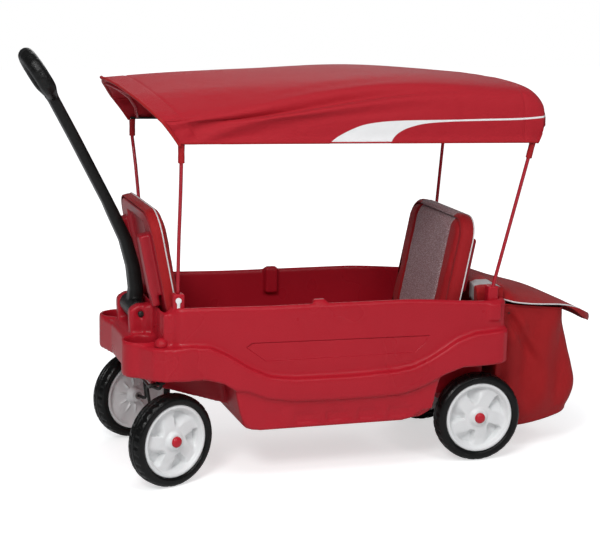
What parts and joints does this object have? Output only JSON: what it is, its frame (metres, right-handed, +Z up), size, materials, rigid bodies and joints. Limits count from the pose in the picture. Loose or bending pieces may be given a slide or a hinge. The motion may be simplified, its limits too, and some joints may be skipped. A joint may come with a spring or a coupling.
{
  "type": "hand-pulled wagon",
  "caption": "Hand-pulled wagon for children: moulded tub, folding seats, canopy on poles, swivelling front wheels, tilting handle, cup holders and rear bag.",
  "frame": {"origin": "on the floor, at the middle of the wagon's bounding box", "axes": "+X toward the back of the wagon, +Y toward its right side as pulled, +Z up"},
  "size_m": [1.3832, 0.538, 0.9494],
  "materials": {
    "red_plastic": "moulded, fine speckle, satin",
    "red_fabric": "coated woven polyester",
    "red_paint": "powder coat",
    "black_plastic": "blow-moulded, grained",
    "black_tyre": "dull",
    "white_plastic": "moulded, satin",
    "black_steel": "black coated rod",
    "bare_steel": "zinc plated"
  },
  "bodies": {
    "tub": {"tub": "red_plastic", "pole_socket_front_left": "red_plastic", "pole_socket_front_right": "red_plastic", "pole_socket_rear_left": "red_plastic", "pole_socket_rear_right": "red_plastic", "pole_clip_left": "white_plastic", "pole_clip_right": "white_plastic", "kingpin_bush_left": "black_plastic", "kingpin_bush_right": "black_plastic", "seat_hinge_rod_front": "bare_steel", "seat_hinge_rod_rear": "bare_steel", "rear_axle": "bare_steel", "axle_spacer_left": "black_plastic", "axle_spacer_right": "black_plastic", "handle_bolt": "black_steel", "handle_nut": "bare_steel", "storage_bag": "red_fabric", "bag_hoop": "black_steel", "bag_cover": "red_fabric"},
    "handle": {"handle": "black_plastic"},
    "canopy": {"canopy_fabric": "red_fabric", "canopy_bow_front": "black_steel", "canopy_bow_rear": "black_steel", "canopy_rail_left": "black_steel", "canopy_rail_right": "black_steel", "pole_front_left": "red_paint", "pole_front_right": "red_paint", "pole_rear_left": "red_paint", "pole_rear_right": "red_paint", "sleeve_front_left": "red_fabric", "sleeve_front_right": "red_fabric", "sleeve_rear_left": "red_fabric", "sleeve_rear_right": "red_fabric"},
    "seat_front": {"seat_back_front": "red_plastic", "seat_pad_front": "red_fabric"},
    "seat_rear": {"seat_back_rear": "red_plastic", "seat_pad_rear": "red_fabric"},
    "fork_left": {"fork_left": "black_steel", "steering_arm_left": "black_steel", "kingpin_cap_left": "red_plastic", "axle_collar_left": "bare_steel"},
    "fork_right": {"fork_right": "black_steel", "steering_arm_right": "black_steel", "kingpin_cap_right": "red_plastic", "axle_collar_right": "bare_steel"},
    "tie_rod": {"tie_rod": "black_steel"},
    "wheel_front_left": {"rim_front_left": "white_plastic", "tyre_front_left": "black_tyre", "hub_cap_front_left": "red_plastic"},
    "wheel_front_right": {"rim_front_right": "white_plastic", "tyre_front_right": "black_tyre", "hub_cap_front_right": "red_plastic"},
    "wheel_rear_left": {"rim_rear_left": "white_plastic", "tyre_rear_left": "black_tyre", "hub_cap_rear_left": "red_plastic"},
    "wheel_rear_right": {"rim_rear_right": "white_plastic", "tyre_rear_right": "black_tyre", "hub_cap_rear_right": "red_plastic"},
    "flap": {"bag_flap": "red_fabric"}
  },
  "joints": [
    {"name": "handle_tilt", "type": "hinge", "parent": "tub", "child": "handle", "pos_m": [-0.4431, 0, 0.367], "axis": [0, -1, 0], "range_deg": [-2, 80]},
    {"name": "canopy_lift", "type": "slide", "parent": "tub", "child": "canopy", "axis": [0, 0, 1], "range_m": [0, 0.075]},
    {"name": "seat_front_fold", "type": "hinge", "parent": "tub", "child": "seat_front", "pos_m": [-0.3751, 0, 0.284], "axis": [0, 1, 0], "range_deg": [0, 99]},
    {"name": "seat_rear_fold", "type": "hinge", "parent": "tub", "child": "seat_rear", "pos_m": [0.2619, 0, 0.284], "axis": [0, -1, 0], "range_deg": [0, 99]},
    {"name": "steer_left", "type": "hinge", "parent": "tub", "child": "fork_left", "pos_m": [-0.4211, -0.19, 0.28], "axis": [0, 0, 1], "range_deg": [-58.5, 11.5]},
    {"name": "steer_right", "type": "hinge", "parent": "tub", "child": "fork_right", "pos_m": [-0.4211, 0.19, 0.28], "axis": [0, 0, 1], "range_deg": [-58.5, 11.5]},
    {"name": "tie_rod_pivot", "type": "hinge", "parent": "fork_left", "child": "tie_rod", "pos_m": [-0.44861, -0.20196, 0.235], "axis": [0, 0, 1], "range_deg": [-11.5, 58.5]},
    {"name": "roll_front_left", "type": "hinge", "parent": "fork_left", "child": "wheel_front_left", "pos_m": [-0.39957, -0.18936, 0.10434], "axis": [-0.3987, 0.9171, 0], "continuous": true},
    {"name": "roll_front_right", "type": "hinge", "parent": "fork_right", "child": "wheel_front_right", "pos_m": [-0.40595, 0.20531, 0.10434], "axis": [-0.3987, 0.9171, 0], "continuous": true},
    {"name": "roll_rear_left", "type": "hinge", "parent": "tub", "child": "wheel_rear_left", "pos_m": [0.3389, -0.174, 0.10434], "axis": [0, 1, 0], "continuous": true},
    {"name": "roll_rear_right", "type": "hinge", "parent": "tub", "child": "wheel_rear_right", "pos_m": [0.3389, 0.174, 0.10434], "axis": [0, 1, 0], "continuous": true},
    {"name": "flap_open", "type": "hinge", "parent": "tub", "child": "flap", "pos_m": [0.4038, 0, 0.4063], "axis": [0, -1, 0], "range_deg": [0, 100]}
  ],
  "couplings": [
    {"joint": "steer_right", "follows": "steer_left", "ratio": 1},
    {"joint": "tie_rod_pivot", "follows": "steer_left", "ratio": -1}
  ]
}
